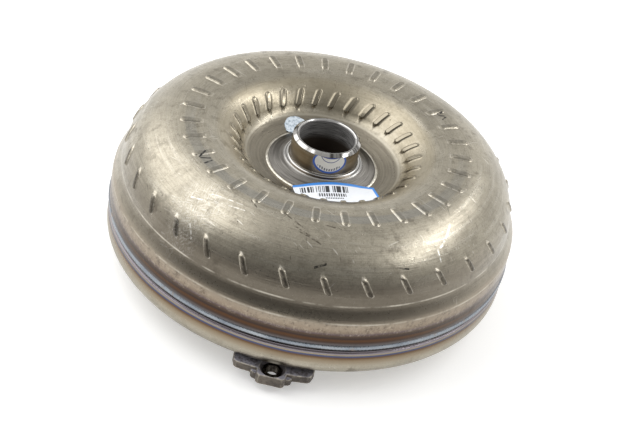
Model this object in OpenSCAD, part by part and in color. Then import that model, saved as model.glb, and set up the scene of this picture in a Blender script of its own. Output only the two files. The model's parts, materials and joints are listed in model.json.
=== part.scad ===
// Lock-up torque converter: an impeller shell welded to a front cover, with a turbine, a stator on a roller
// clutch, and a lock-up piston with a spring damper sealed inside.
// +Z runs along the axis towards the transmission; z = 0 is the end face of the crank pilot. Millimetres.

/* [Housing] */
// Outer radius of the welded housing
housing_r = 142.9; // [142.5:0.1:143.5]
// Height of the crown of the impeller shell above the pilot's end
crown_z = 108.1; // [107.9:0.1:108.4]
// Wall thickness of the pressed impeller shell
shell_t = 3.6; // [3.4:0.1:3.7]
// Wall thickness of the front cover
cover_t = 5; // [4.8:0.1:5]
// Number of impeller blades, each held by three embossed tabs
impeller_blade_count = 31; // [29:1:31]
// Height that the tab embossments stand proud of the shell
bump_h = 1; // [0.6:0.1:1.2]

/* [Hub and pilot] */
// Outer radius of the impeller hub
hub_r = 23.8; // [23.6:0.1:24]
// Bore radius of the impeller hub
hub_bore_r = 19.6; // [19.4:0.1:19.8]
// Height of the impeller hub's end above the pilot's end
hub_top_z = 107.6; // [106:0.1:108]
// Radius of the crank pilot
pilot_r = 21.6; // [21:0.1:22]

/* [Mounting lugs] */
// Radius of the bolt circle
bolt_circle_r = 141; // [140.5:0.1:141.5]
// Radius of each lug's bolt hole
lug_hole_r = 5; // [4.2:0.1:5.5]
// Number of mounting lugs
lug_count = 3; // [3:1:4]
// Height of the lug faces above the pilot's end
lug_face_z = 6; // [5:0.5:7]

/* [Turbine and stator] */
// Number of turbine blades
turbine_blade_count = 29; // [27:1:29]
// Number of stator blades
stator_blade_count = 15; // [13:1:15]
// Thickness of the sheet-metal blades
blade_t = 1; // [0.8:0.1:1.2]
// Number of rollers in the stator clutch
roller_count = 10; // [8:1:10]
// Number of needles in each thrust bearing
needle_count = 24; // [20:1:26]

/* [Lock-up clutch] */
// Number of damper springs
spring_count = 6; // [5:1:6]
// Thickness of the friction lining
lining_t = 1.8; // [1.6:0.1:1.8]

/* [Hidden] */

$fn = 96;
eps = 0.01;
run_gap = 0.05;          // running clearance between parts that turn or slide on each other
seat_gap = 0.05;         // gap between parts that are welded or brazed together
first_angle = 99;        // direction of the first mid-ring tab
first_lug = 270;         // direction of the first lug

// Impeller shell: two torus arcs, a bowl fillet, a conical bowl floor and a flared skirt
torus_out_r = 40.8;
torus_out = [97, crown_z - torus_out_r];
torus_in_r = 36;
torus_in = [88, crown_z - torus_in_r];
wall_angle = 145;        // end of the inner torus arc, where the bowl fillet begins
bowl_r = 13.4;
bowl_c = torus_in + (torus_in_r + bowl_r) * [cos(wall_angle), sin(wall_angle)];
floor_slope = 16.2;
seat_end_r = 40.5;
flange_r = 37.8;
seat_z = bowl_c.y - bowl_r * cos(floor_slope)
    - (bowl_c.x + bowl_r * sin(floor_slope) - seat_end_r) * tan(floor_slope);
crease_angle = 5;        // end of the outer torus arc, at the crease above the flare
crease_r = torus_out.x + torus_out_r * cos(crease_angle);
crease_z = torus_out.y + torus_out_r * sin(crease_angle);
shoulder_z = 58.5;       // bottom of the flare
skirt_z = 42;            // lower edge of the shell
weld_z = 38;             // shoulder of the cover under the weld bead
bead_h = 0.9;            // how far the bead stands out

// Labels on the hub's flange and the bowl's floor
label_angle = 295;
label_size = [58, 22];
label_near_edge = 28.8;
dot_angle = 122.5;
dot_circle_r = 43;
dot_r = 10;

// Impeller hub and the stack of parts inside it
hub_base_r = 26.1;
hub_base_z = 89.8;
flange_edge_z = seat_z + 1.1;
flange_z = 81.4;         // inner face of the hub flange
race_t = 1;
needle_r = 0.98;
bearing_gap = 2;         // space between the races of a thrust bearing
bearing_in_r = 24.5;
bearing_out_r = 36;
stator_top = flange_z - 2 * race_t - bearing_gap;
stator_h = 24;
stator_bottom = stator_top - stator_h;
turbine_hub_top = stator_bottom - 2 * race_t - bearing_gap;

// Front cover
cover_z = 14;            // front face that the lugs are welded to
cover_in_z = cover_z + cover_t;
cover_corner_r = 10;
cover_wall_in_r = 136.8;
spigot_r = housing_r - shell_t - seat_gap;
spigot_z = 52;
cover_dish_r = 96;       // edge of the thinner middle of the cover
cover_dish = 1.5;

// Torus core, shared by the impeller and turbine core rings
core = [89, 66];
core_r = 14;
core_half = 7.5;         // half the distance between the core's two arc centres
core_t = 1.2;
turbine_edge_z = 64.6;

// Turbine shell: two arcs that meet at its lowest point
turb_out_r = 34.5;
turb_out = [96.5, 65.5];
turb_in_r = 60;
turb_in = [95, turb_out.y - turb_out_r + turb_in_r];
turb_t = 1.8;
turb_flange_in_r = 30;
turb_flange_t = 2.4;
turb_join_r = 61.7;
hub_flange_z = turbine_hub_top - 6;   // underside of the turbine hub's flange
hub_flange_t = 4;
turb_flange_z = hub_flange_z - turb_flange_t;
rivet_circle_r = 40;
rivet_r = 3;
rivet_count = 10;

// Turbine hub
journal_r = 24;          // the piston slides on this
plate_spline_r = 26.5;
plate_spline_root_r = 25;
plate_spline_z = 28.8;
plate_teeth = 40;
shaft_spline_r = 13.6;
shaft_spline_root_r = 12.6;
turbine_hub_z = 22.3;
seal_z = 24;
seal_h = 2;

// Lock-up piston and damper
piston_t = 2.5;
piston_z = 22.6;         // underside of the piston's middle
lining_z = cover_in_z + run_gap;
lining_in_r = 104;
lining_out_r = 131;
piston_r = 134.2;
piston_band_z = lining_z + lining_t;
piston_step_r = 97;
spring_circle_r = 62;
spring_r = 5.5;
wire_r = 1.2;
spring_z = 31.2;
spring_span = 38;        // angle that one spring fills
spring_coils = 6;
window_in_r = spring_circle_r - 7;
window_out_r = spring_circle_r + 7.5;
plate_t = 2.4;
retainer_t = 1.5;
retainer_z = 33;
retainer_rivet_r = 82;
retainer_rivet_count = 12;

// Stator clutch
inner_race_r = 24;
race_spline_r = 17.1;
race_spline_root_r = 16;
roller_r = 3.6;
roller_circle_r = inner_race_r + roller_r + 0.02;
roller_h = 14;
cam_r = 38;
cam_bore_r = 25.4;
clutch_z = stator_bottom + 5;
stator_hub_r = 46;
stator_tip_r = 65;
shroud_t = 2.5;
stator_mid_z = (stator_top + stator_bottom) / 2;

// Points along an arc or an ellipse, from angle a0 to a1
function arc(c, r, a0, a1, step = 5) = ellipse_arc(c, r, r, a0, a1, step);
function ellipse_arc(c, a, b, a0, a1, step = 5) =
    let (n = ceil(abs(a1 - a0) / step))
    [for (i = [0:n]) let (t = a0 + (a1 - a0) * i / n) [c.x + a * cos(t), c.y + b * sin(t)]];
function reversed(p) = [for (i = [len(p) - 1:-1:0]) p[i]];
function smooth(u) = u * u * (3 - 2 * u);

// Half section of everything inside the impeller shell's surface, t below the outside
module shell_section(t) {
    flare_r = torus_out.x + sqrt(pow(torus_out_r - t, 2) - pow(crease_z - torus_out.y, 2));
    flare = [for (i = [0:6]) let (u = i / 6)
        [flare_r + (housing_r - t - flare_r) * smooth(u), crease_z - (crease_z - shoulder_z) * u]];
    bowl_line(t, [bowl_c, bowl_c - (bowl_r + t) * [cos(wall_angle), sin(wall_angle)], torus_in,
        [torus_in.x, skirt_z], [flange_r, skirt_z]]);
    intersection() {
        translate(torus_in) circle(r = torus_in_r - t);
        polygon([torus_in, torus_in + 80 * [cos(wall_angle), sin(wall_angle)],
            torus_in + [-60, 80], torus_in + [0, 80]]);
    }
    crown_section(t, crease_z);
    polygon(concat([[torus_out.x, crease_z]], flare, [[housing_r - t, skirt_z], [torus_out.x, skirt_z]]));
}

// The part of that half section that lies under the crown and, above z0, under the outer torus arc
module crown_section(t, z0) {
    translate([torus_in.x, skirt_z]) square([torus_out.x - torus_in.x, crown_z - t - skirt_z]);
    intersection() {
        translate(torus_out) circle(r = torus_out_r - t);
        translate([torus_out.x, z0]) square(60);
    }
}

// The bowl's floor and its fillet, closed below by the points in rest
module bowl_line(t, rest) {
    difference() {
        polygon(concat([[flange_r, seat_z - t], [seat_end_r + t * tan(floor_slope / 2), seat_z - t],
            bowl_c + (bowl_r + t) * [sin(floor_slope), -cos(floor_slope)]], rest));
        translate(bowl_c) circle(r = bowl_r + t);
    }
}

// Half section of everything above the turbine shell's surface, t above the outside
module turbine_section(t) {
    intersection() {
        translate(turb_in) circle(r = turb_in_r - t, $fn = 180);
        translate([turb_join_r, 20]) square([turb_in.x - turb_join_r, turb_out.y - 20]);
    }
    translate([turb_in.x, turb_out.y - turb_out_r + t]) square([turb_out.x - turb_in.x, turb_out_r - t]);
    intersection() {
        translate(turb_out) circle(r = turb_out_r - t);
        translate([turb_out.x, 20]) square([60, turb_out.y - 20]);
    }
}

// Half section of the torus core, grown by t
module core_section(t) {
    for (s = [-1, 1]) translate(core + [s * core_half, 0]) circle(r = core_r + t);
    translate(core - [core_half, core_r + t]) square([2 * core_half, 2 * (core_r + t)]);
}

module ring(r_in, r_out, z0, z1) {
    translate([0, 0, z0]) difference() {
        cylinder(r = r_out, h = z1 - z0);
        translate([0, 0, -1]) cylinder(r = r_in, h = z1 - z0 + 2);
    }
}

module around(count, start = 0) {
    for (i = [0:count - 1]) rotate([0, 0, start + i * 360 / count]) children();
}

// Internal spline teeth that stand inwards from root_r to tip_r
module spline_teeth(count, tip_r, root_r, z0, z1) {
    tooth_w = 3.14 * (tip_r + root_r) / count / 2;
    around(count) translate([tip_r, -tooth_w / 2, z0]) cube([root_r - tip_r + 0.4, tooth_w, z1 - z0]);
}

// One embossed tab, a flat pad with round ends, with lean the angle of the shell's normal
module bump(radius, height, lean, length, width, slant) {
    root = 1.5;
    translate([radius, 0, height]) rotate([0, 90 - lean, 0]) rotate([0, 0, slant])
        translate([0, 0, -root]) linear_extrude(root + bump_h) {
            square([length - width, width], center = true);
            for (s = [-1, 1]) translate([s * (length - width) / 2, 0]) circle(r = width / 2, $fn = 24);
        }
}

// A tab on one of the shell's torus arcs
module arc_bump(c, r, lean, length, width, slant) {
    bump(c.x + r * cos(lean), c.y + r * sin(lean), lean, length, width, slant);
}

// Sheet blades: an arc in plan that runs through the three rings of tabs
module blade_strips(count, start, mirrored, z0, z1) {
    strip_r = 78.4;
    strip_c = [88.8, 78.2];
    around(count, start) mirror([0, mirrored, 0]) translate([strip_c.x, strip_c.y, z0]) difference() {
        cylinder(r = strip_r, h = z1 - z0, $fn = 180);
        translate([0, 0, -1]) cylinder(r = strip_r - blade_t, h = z1 - z0 + 2, $fn = 180);
        translate([-100, -58, -1]) cube([200, 200, z1 - z0 + 2]);
    }
}

module rivet(r, head_r, head_h, z0, z1) {
    translate([0, 0, z0 - eps]) cylinder(r = r, h = z1 - z0 + 2 * eps, $fn = 32);
    for (s = [0, 1]) translate([0, 0, s ? z1 : z0]) mirror([0, 0, 1 - s])
        cylinder(r1 = head_r, r2 = head_r * 0.55, h = head_h, $fn = 32);
}

module thrust_cage(z0) {
    mid = z0 + bearing_gap / 2;
    difference() {
        ring(bearing_in_r + 0.5, bearing_out_r - 1.6, mid - 0.65, mid + 0.65);
        around(needle_count) translate([bearing_in_r + 1.6, -needle_r - 0.04, mid - 1])
            cube([7.2, 2 * needle_r + 0.08, 2]);
    }
}

module thrust_needles(z0) {
    around(needle_count) translate([bearing_in_r + 1.7, 0, z0 + bearing_gap / 2]) rotate([0, 90, 0])
        cylinder(r = needle_r, h = 7, $fn = 32);
}

module race(z0) { ring(bearing_in_r, bearing_out_r, z0, z0 + race_t); }

// ---- housing ----

module front_cover() {
    color("#9a968a") rotate_extrude() polygon(concat(
        [[0, cover_z + cover_dish], [cover_dish_r, cover_z + cover_dish], [cover_dish_r + 2, cover_z]],
        arc([housing_r - cover_corner_r, cover_z + cover_corner_r], cover_corner_r, 270, 360),
        [[housing_r, weld_z], [spigot_r, weld_z], [spigot_r, spigot_z], [cover_wall_in_r, spigot_z]],
        arc([cover_wall_in_r - cover_t, cover_in_z + cover_t], cover_t, 360, 270),
        [[0, cover_in_z]]));
}

module crank_pilot() {
    nose_chamfer = 1.5;
    color("#8f8f90") rotate_extrude() polygon([
        [0, 0], [pilot_r - nose_chamfer, 0], [pilot_r, nose_chamfer],
        [pilot_r, cover_z + cover_dish], [0, cover_z + cover_dish]]);
}

module lug_outline() {
    ear_half = 27.5;
    ear_r = bolt_circle_r + 3.5;
    boss_r = bolt_circle_r + 9.5;
    intersection() {
        union() {
            translate([120, -ear_half]) square([60, 2 * ear_half]);
            polygon([[110, -13], [110, 13], [125, 18], [125, -18]]);
        }
        union() {
            difference() {
                circle(r = ear_r);
                circle(r = 112);
            }
            polygon([[126, -12], [bolt_circle_r, -11.5], [boss_r, -6.6], [boss_r, 6.6],
                [bolt_circle_r, 11.5], [126, 12]]);
        }
    }
}

module mounting_lugs() {
    ear_z = lug_face_z + 2;
    color("#574f52") around(lug_count, first_lug) difference() {
        union() {
            translate([0, 0, ear_z]) linear_extrude(cover_z - ear_z) lug_outline();
            translate([0, 0, lug_face_z]) linear_extrude(cover_z - lug_face_z) intersection() {
                lug_outline();
                translate([124, -12]) square([40, 24]);
            }
        }
        translate([bolt_circle_r, 0, 0]) cylinder(r = lug_hole_r, h = 30, $fn = 64);
    }
}

module rim_weld() {
    color("#8c95a0") rotate_extrude() polygon(concat(
        [[spigot_r + seat_gap, weld_z]],
        ellipse_arc([housing_r - eps, (skirt_z + weld_z) / 2], bead_h, (skirt_z - weld_z) / 2, -90, 90, 15),
        [[spigot_r + seat_gap, skirt_z]]));
}

module impeller_shell() {
    color("#a29b88") union() {
        rotate_extrude($fn = 180) difference() {
            shell_section(0);
            shell_section(shell_t);
        }
        around(impeller_blade_count, first_angle)
            bump(94.4, crown_z, 90, 14.6, 4.6, 0);
        around(impeller_blade_count, first_angle + 4.5)
            arc_bump(torus_in, torus_in_r, 134.5, 13.4, 3.6, -17);
        around(impeller_blade_count, first_angle + 6.1)
            arc_bump(torus_out, torus_out_r, 24, 13.6, 4, 27);
    }
}

module impeller_hub() {
    rim = 1.6;
    color("#b7b5ae") rotate_extrude() polygon(concat(
        [[hub_bore_r, flange_z], [flange_r - seat_gap, flange_z], [flange_r - seat_gap, flange_edge_z],
         [hub_base_r + 1.6, hub_base_z - 0.5]],
        arc([hub_r + 2.4, hub_base_z + 2.2], 2.4, 262, 180, 16),
        [[hub_r, hub_top_z - rim], [hub_r - 2, hub_top_z], [hub_bore_r + 1, hub_top_z],
         [hub_bore_r, hub_top_z - 1]]));
}

module hub_weld() {
    color("#b9b4a6") rotate_extrude() polygon([
        [flange_r, seat_z], [flange_r + 2, seat_z], [flange_r + 1.5, seat_z + 0.6], [flange_r, seat_z + 1]]);
}

module core_ring_half(z0) {
    rotate_extrude() intersection() {
        difference() {
            core_section(0);
            core_section(-core_t);
        }
        translate([core.x - 40, z0]) square([80, 20]);
    }
}

module impeller_core_ring() { color("#8d8a82") core_ring_half(core.y + 2.5); }

module impeller_blades() {
    color("#86837b") intersection() {
        blade_strips(impeller_blade_count, first_angle, 0, crease_z - 4, crown_z);
        rotate_extrude($fn = 180) difference() {
            intersection() {
                union() {
                    crown_section(shell_t + seat_gap, torus_out.y);
                    intersection() {
                        translate(torus_in) circle(r = torus_in_r - shell_t - seat_gap);
                        translate(torus_in - [60, 60]) square([60, 120]);
                    }
                }
                polygon([[60, 88], [63.5, 80], [69, 75], [69, torus_out.y], [145, torus_out.y],
                    [145, 120], [60, 120]]);
            }
            core_section(seat_gap);
        }
    }
}

module pump_drive_socket() {
    color("#7d7d80") {
        ring(8, 16, cover_in_z, cover_in_z + 12);
        intersection() {
            spline_teeth(24, 7, 8, cover_in_z, cover_in_z + 12);
            ring(6.9, 9, cover_in_z, cover_in_z + 12);
        }
    }
}

module front_thrust_washer() {
    color("#3b3a34") difference() {
        ring(18, 33.5, cover_in_z, cover_in_z + 3);
        around(6) translate([16, -1.5, cover_in_z + 2]) cube([20, 3, 2]);
    }
}

module rear_bearing_race() { color("#a9adb2") race(flange_z - race_t); }

// ---- labels ----

// The line of the labels, at a height above the hub's flange and the bowl's floor
function label_line(h) =
    let (slope = (hub_base_z - 0.5 - flange_edge_z) / (flange_r - seat_gap - hub_base_r - 1.6))
    concat([for (r = [28.5, 36.8]) [r, flange_edge_z + (flange_r - seat_gap - r) * slope + h]],
        [[42, seat_z + (42 - seat_end_r) * tan(floor_slope) + h]],
        arc(bowl_c, bowl_r - h, 270 + floor_slope, 270 + 54, 6));

// A thin skin on the flange and the floor, from which the paper labels are cut
module label_skin() {
    rotate_extrude() polygon(concat(label_line(0.03), reversed(label_line(0.23))));
}

module bowl_label() {
    color("white") intersection() {
        label_skin();
        rotate([0, 0, label_angle + 90])
            translate([-label_size.x / 2 + 2, -label_near_edge - label_size.y, flange_z])
                cube([label_size.x, label_size.y, 40]);
    }
}

module inspection_dot() {
    color("white") intersection() {
        label_skin();
        rotate([0, 0, dot_angle]) translate([dot_circle_r, 0, flange_z]) cylinder(r = dot_r, h = 40);
    }
}

// ---- turbine ----

module turbine_shell() {
    color("#85827b") difference() {
        rotate_extrude($fn = 180) {
            difference() {
                turbine_section(0);
                turbine_section(turb_t);
            }
            translate([turb_flange_in_r, turb_flange_z])
                square([turb_join_r - turb_flange_in_r, turb_flange_t]);
        }
        around(rivet_count) translate([rivet_circle_r, 0, turb_flange_z - 1])
            cylinder(r = rivet_r, h = 6, $fn = 32);
    }
}

module turbine_blades() {
    color("#7a776f") intersection() {
        blade_strips(turbine_blade_count, 0, 1, 30, turbine_edge_z);
        rotate_extrude($fn = 180) difference() {
            intersection() {
                turbine_section(turb_t + seat_gap);
                polygon([[62.2, 20], [62.2, 46], [63.5, 51.5], [69, 56.5], [69, turbine_edge_z],
                    [145, turbine_edge_z], [145, 20]]);
            }
            core_section(seat_gap);
        }
    }
}

module turbine_core_ring() { color("#8d8a82") core_ring_half(core.y - 22.5); }

module turbine_hub() {
    counterbore_z = cover_in_z + 14;
    plate_spline_top = turb_flange_z - 0.2;
    plate_tooth_h = plate_spline_r - plate_spline_root_r;
    color("#77787c") {
        difference() {
            union() {
                rotate_extrude() polygon([
                    [shaft_spline_r, turbine_hub_z], [journal_r, turbine_hub_z], [journal_r, seal_z],
                    [journal_r - 1.5, seal_z], [journal_r - 1.5, seal_z + seal_h],
                    [journal_r, seal_z + seal_h], [journal_r, plate_spline_z],
                    [plate_spline_root_r, plate_spline_z], [plate_spline_root_r, plate_spline_top],
                    [turb_flange_in_r - seat_gap, plate_spline_top],
                    [turb_flange_in_r - seat_gap, hub_flange_z], [rivet_circle_r + 5.5, hub_flange_z],
                    [rivet_circle_r + 5.5, hub_flange_z + hub_flange_t],
                    [bearing_out_r - 1, hub_flange_z + hub_flange_t], [bearing_out_r - 1, turbine_hub_top],
                    [shaft_spline_r, turbine_hub_top]]);
                around(plate_teeth) translate([plate_spline_root_r - 0.4, -0.9, plate_spline_z])
                    cube([plate_tooth_h + 0.4, 1.8, plate_spline_top - plate_spline_z]);
            }
            translate([0, 0, turbine_hub_z - 1]) cylinder(r = 17.5, h = counterbore_z - turbine_hub_z + 1);
            around(rivet_count) translate([rivet_circle_r, 0, hub_flange_z - 1])
                cylinder(r = rivet_r, h = 6, $fn = 32);
        }
        intersection() {
            spline_teeth(36, shaft_spline_root_r, shaft_spline_r, counterbore_z, turbine_hub_top);
            ring(shaft_spline_root_r - 0.1, shaft_spline_r + 0.3, counterbore_z, turbine_hub_top);
        }
    }
}

module turbine_rivets() {
    color("#a5a39c") around(rivet_count) translate([rivet_circle_r, 0, 0])
        rivet(rivet_r, 4.6, 1.8, turb_flange_z, hub_flange_z + hub_flange_t);
}

module front_bearing_race() { color("#a9adb2") race(turbine_hub_top); }

module piston_seal() {
    color("#2b2b2b") ring(journal_r - 1.4, journal_r + 0.02, seal_z + 0.1, seal_z + seal_h - 0.1);
}

// ---- lock-up piston and damper ----

// The window that one damper spring lies in
module spring_gap(z0, z1) {
    span = spring_span + 0.4;
    translate([0, 0, z0]) rotate([0, 0, -span / 2]) rotate_extrude(angle = span)
        translate([window_in_r, 0]) square([window_out_r - window_in_r, z1 - z0]);
}

module damper_hub_plate() {
    z0 = spring_z - plate_t / 2;
    color("#6f6e6a") difference() {
        ring(plate_spline_root_r + run_gap, spring_circle_r + 6, z0, z0 + plate_t);
        around(plate_teeth) translate([plate_spline_root_r - 1, -0.95, z0 - 1]) cube([2.6, 1.9, plate_t + 2]);
        around(spring_count) spring_gap(z0 - 1, z0 + 4);
    }
}

module lockup_piston() {
    lip_h = 8;
    color("#8a887f") rotate_extrude($fn = 180) polygon([
        [journal_r + run_gap, piston_z], [piston_step_r - 2, piston_z], [piston_step_r + 2, piston_band_z],
        [piston_r - 1, piston_band_z], [piston_r, piston_band_z + 1], [piston_r, piston_band_z + lip_h],
        [piston_r - piston_t, piston_band_z + lip_h], [piston_r - piston_t, piston_band_z + piston_t],
        [piston_step_r + 2, piston_band_z + piston_t], [piston_step_r - 2, piston_z + piston_t],
        [journal_r + 3.5, piston_z + piston_t], [journal_r + 3.5, piston_z + 5],
        [journal_r + run_gap, piston_z + 5]]);
}

module friction_lining() { color("#4b3a2a") ring(lining_in_r, lining_out_r, lining_z, piston_band_z); }

module spring_retainer() {
    foot_z = piston_z + piston_t;
    color("#767570") difference() {
        rotate_extrude() polygon([
            [44, retainer_z], [window_out_r + 1, retainer_z], [75, foot_z], [88, foot_z],
            [88, foot_z + retainer_t], [76.1, foot_z + retainer_t],
            [window_out_r + 2, retainer_z + retainer_t], [44, retainer_z + retainer_t]]);
        around(spring_count) spring_gap(retainer_z - 2.5, retainer_z + 3);
        around(retainer_rivet_count) translate([retainer_rivet_r, 0, foot_z - 1])
            cylinder(r = 2.5, h = 4, $fn = 32);
    }
}

module retainer_rivets() {
    foot_z = piston_z + piston_t;
    color("#a5a39c") around(retainer_rivet_count) translate([retainer_rivet_r, 0, foot_z]) {
        cylinder(r = 2.5, h = retainer_t, $fn = 32);
        translate([0, 0, retainer_t]) cylinder(r1 = 4, r2 = 2.4, h = 1.5, $fn = 32);
    }
}

// A coil of round wire: the flat outline is the wire's section, sheared along the helix to one level
module coil(mean_r, wire, turns, length) {
    corners = 12;
    shear = 360 * wire * turns / length;
    outline = [for (i = [1:corners])
        let (a = i * 360 / corners, r = mean_r + wire * cos(a), t = shear * sin(a))
        [r * cos(t), r * sin(t)]];
    linear_extrude(length, twist = -360 * turns, slices = 9 * turns, segments = corners) polygon(outline);
}

module damper_springs() {
    length = 2 * spring_circle_r * sin(spring_span / 2) - 2.4;
    axis_r = spring_circle_r * cos(spring_span / 2) + 2.2;
    color("#b3b1aa") around(spring_count) translate([axis_r, length / 2, spring_z]) rotate([90, 0, 0])
        coil(spring_r - wire_r, wire_r, spring_coils, length);
}

// ---- stator ----

// Section of a stator blade: a cambered strip with a round nose
module stator_blade() {
    chord = 20;
    camber = 3;
    mid = [for (i = [0:8]) let (u = i / 8) [4 * camber * u * (1 - u), chord * (u - 0.5)]];
    thick = [for (i = [0:8]) let (u = i / 8) 0.6 + 2.6 * sqrt(u) * (1 - u) + 0.9 * u * (1 - u)];
    polygon(concat(
        [for (i = [0:8]) mid[i] + [thick[i], 0]],
        [for (i = [8:-1:0]) mid[i] - [thick[i], 0]]));
}

module stator_wheel() {
    blade_h = 18.5;
    lip_r = 34;
    color("#c5c5c3") {
        difference() {
            union() {
                ring(cam_r + 0.05, stator_hub_r, stator_bottom, stator_top);
                ring(lip_r, cam_r + 1, stator_bottom, stator_bottom + 1.6);
                ring(stator_tip_r, stator_tip_r + shroud_t, stator_mid_z - 9.5, stator_mid_z + 9.5);
            }
            ring(cam_r - 1, cam_r + 1.6, stator_top - 1.6, stator_top - 0.3);
        }
        intersection() {
            around(stator_blade_count) translate([stator_hub_r - 2, 0, stator_mid_z])
                rotate([0, 90, 0]) rotate([0, 0, 122]) linear_extrude(24) stator_blade();
            translate([0, 0, stator_mid_z])
                ring(stator_hub_r - 0.5, stator_tip_r + 0.5, -blade_h / 2, blade_h / 2);
        }
    }
}

module clutch_outer_race() {
    color("#6d6e72") difference() {
        ring(cam_bore_r, cam_r, clutch_z, clutch_z + roller_h + 0.4);
        around(roller_count) {
            translate([roller_circle_r, 0, clutch_z - 1])
                cylinder(r = roller_r + 0.06, h = roller_h + 3, $fn = 48);
            rotate([0, 0, -13]) translate([roller_circle_r, 0, clutch_z - 1])
                cylinder(r = 2.9, h = roller_h + 3, $fn = 48);
            rotate([0, 0, -7]) translate([roller_circle_r - 2.7, -2.8, clutch_z - 1])
                cube([5.4, 5.6, roller_h + 3]);
        }
    }
}

module clutch_rollers() {
    color("#d0d2d6") around(roller_count) translate([roller_circle_r, 0, clutch_z + 0.1])
        cylinder(r = roller_r, h = roller_h + 0.1, $fn = 48);
}

// Folded leaf springs that press each roller into the wedge
module clutch_springs() {
    fold = 1.5;
    leaf = 0.3;
    pitch = 0.85;
    folds = 3;
    color("#bdbbb2") around(roller_count) rotate([0, 0, -8.6]) translate([roller_circle_r, 0, clutch_z + 2])
        linear_extrude(roller_h - 4) {
            for (i = [0:folds]) translate([-fold, -i * pitch]) square([2 * fold, leaf]);
            for (i = [0:folds - 1]) translate([i % 2 ? -fold : fold - leaf, -(i + 1) * pitch])
                square([leaf, pitch + leaf]);
        }
}

module clutch_cap(z0, z1, z_step, inner_step_r) {
    ring(inner_race_r + run_gap, cam_r, min(z_step, z0), max(z_step, z0));
    ring(inner_race_r + run_gap, inner_step_r, min(z_step, z1), max(z_step, z1));
}

module front_clutch_cap() {
    color("#4a4238") clutch_cap(clutch_z - 0.1, stator_bottom, stator_bottom + 1.65, 33.9);
}

module rear_clutch_cap() {
    color("#4a4238") clutch_cap(clutch_z + roller_h + 0.5, stator_top, stator_top - 1.65, 33.9);
}

module clutch_snap_ring() {
    color("#55565a") difference() {
        ring(34.4, cam_r + 1.4, stator_top - 1.55, stator_top - 0.35);
        translate([30, -3, stator_top - 4]) cube([20, 6, 8]);
    }
}

module stator_front_race() { color("#a9adb2") race(stator_bottom - race_t); }

module stator_rear_race() { color("#a9adb2") race(stator_top); }

module clutch_inner_race() {
    z0 = stator_bottom + 1;
    z1 = stator_top - 1;
    color("#84868a") {
        ring(race_spline_r, inner_race_r, z0, z1);
        intersection() {
            spline_teeth(40, race_spline_root_r, race_spline_r, z0, z1);
            ring(race_spline_root_r - 0.1, race_spline_r + 0.3, z0, z1);
        }
    }
}

// ---- thrust bearings ----

module front_bearing_cage() { color("#8b7b4e") thrust_cage(turbine_hub_top + race_t); }

module front_bearing_needles() { color("#d0d2d6") thrust_needles(turbine_hub_top + race_t); }

module rear_bearing_cage() { color("#8b7b4e") thrust_cage(stator_top + race_t); }

module rear_bearing_needles() { color("#d0d2d6") thrust_needles(stator_top + race_t); }

front_cover();
crank_pilot();
mounting_lugs();
rim_weld();
impeller_shell();
impeller_hub();
hub_weld();
impeller_blades();
impeller_core_ring();
pump_drive_socket();
front_thrust_washer();
rear_bearing_race();
bowl_label();
inspection_dot();
turbine_shell();
turbine_blades();
turbine_core_ring();
turbine_hub();
turbine_rivets();
front_bearing_race();
piston_seal();
damper_hub_plate();
lockup_piston();
friction_lining();
spring_retainer();
retainer_rivets();
damper_springs();
stator_wheel();
clutch_outer_race();
clutch_rollers();
clutch_springs();
front_clutch_cap();
rear_clutch_cap();
clutch_snap_ring();
stator_front_race();
stator_rear_race();
clutch_inner_race();
front_bearing_cage();
front_bearing_needles();
rear_bearing_cage();
rear_bearing_needles();
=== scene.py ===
import functools
import json
import math

import bmesh
import bpy
import numpy as np
from mathutils import Matrix, Vector


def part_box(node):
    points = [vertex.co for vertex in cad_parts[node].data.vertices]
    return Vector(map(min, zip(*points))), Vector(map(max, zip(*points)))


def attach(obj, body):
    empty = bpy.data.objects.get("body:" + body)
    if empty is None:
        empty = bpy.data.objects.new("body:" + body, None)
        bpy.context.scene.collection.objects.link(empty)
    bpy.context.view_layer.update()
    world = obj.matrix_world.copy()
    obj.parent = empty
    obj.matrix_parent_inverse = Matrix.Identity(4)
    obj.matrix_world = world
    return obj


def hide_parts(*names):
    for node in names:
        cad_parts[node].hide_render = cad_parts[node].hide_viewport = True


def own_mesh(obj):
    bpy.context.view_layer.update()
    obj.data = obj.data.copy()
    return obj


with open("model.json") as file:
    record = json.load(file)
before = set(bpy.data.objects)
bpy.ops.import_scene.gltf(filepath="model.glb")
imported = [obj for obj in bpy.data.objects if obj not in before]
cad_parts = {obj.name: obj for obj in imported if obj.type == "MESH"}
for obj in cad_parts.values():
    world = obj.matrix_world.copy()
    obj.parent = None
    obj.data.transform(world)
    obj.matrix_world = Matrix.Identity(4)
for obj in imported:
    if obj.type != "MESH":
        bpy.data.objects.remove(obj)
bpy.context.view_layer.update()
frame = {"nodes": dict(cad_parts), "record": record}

MM = 0.001
mounts = {m["name"]: m for m in frame["record"]["mounts"]}


def edge(node, corner, axis):
    """One side of a CAD node's box: corner 0 is the lowest, 1 the highest."""
    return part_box(node)[corner][axis] / MM


def polar(r, angle, x=0.0, y=0.0):
    """The point at a distance and an angle in radians from (x, y)."""
    return (x + r * math.cos(angle), y + r * math.sin(angle))


# ---- sizes, from the frame where it gives them ----

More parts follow.
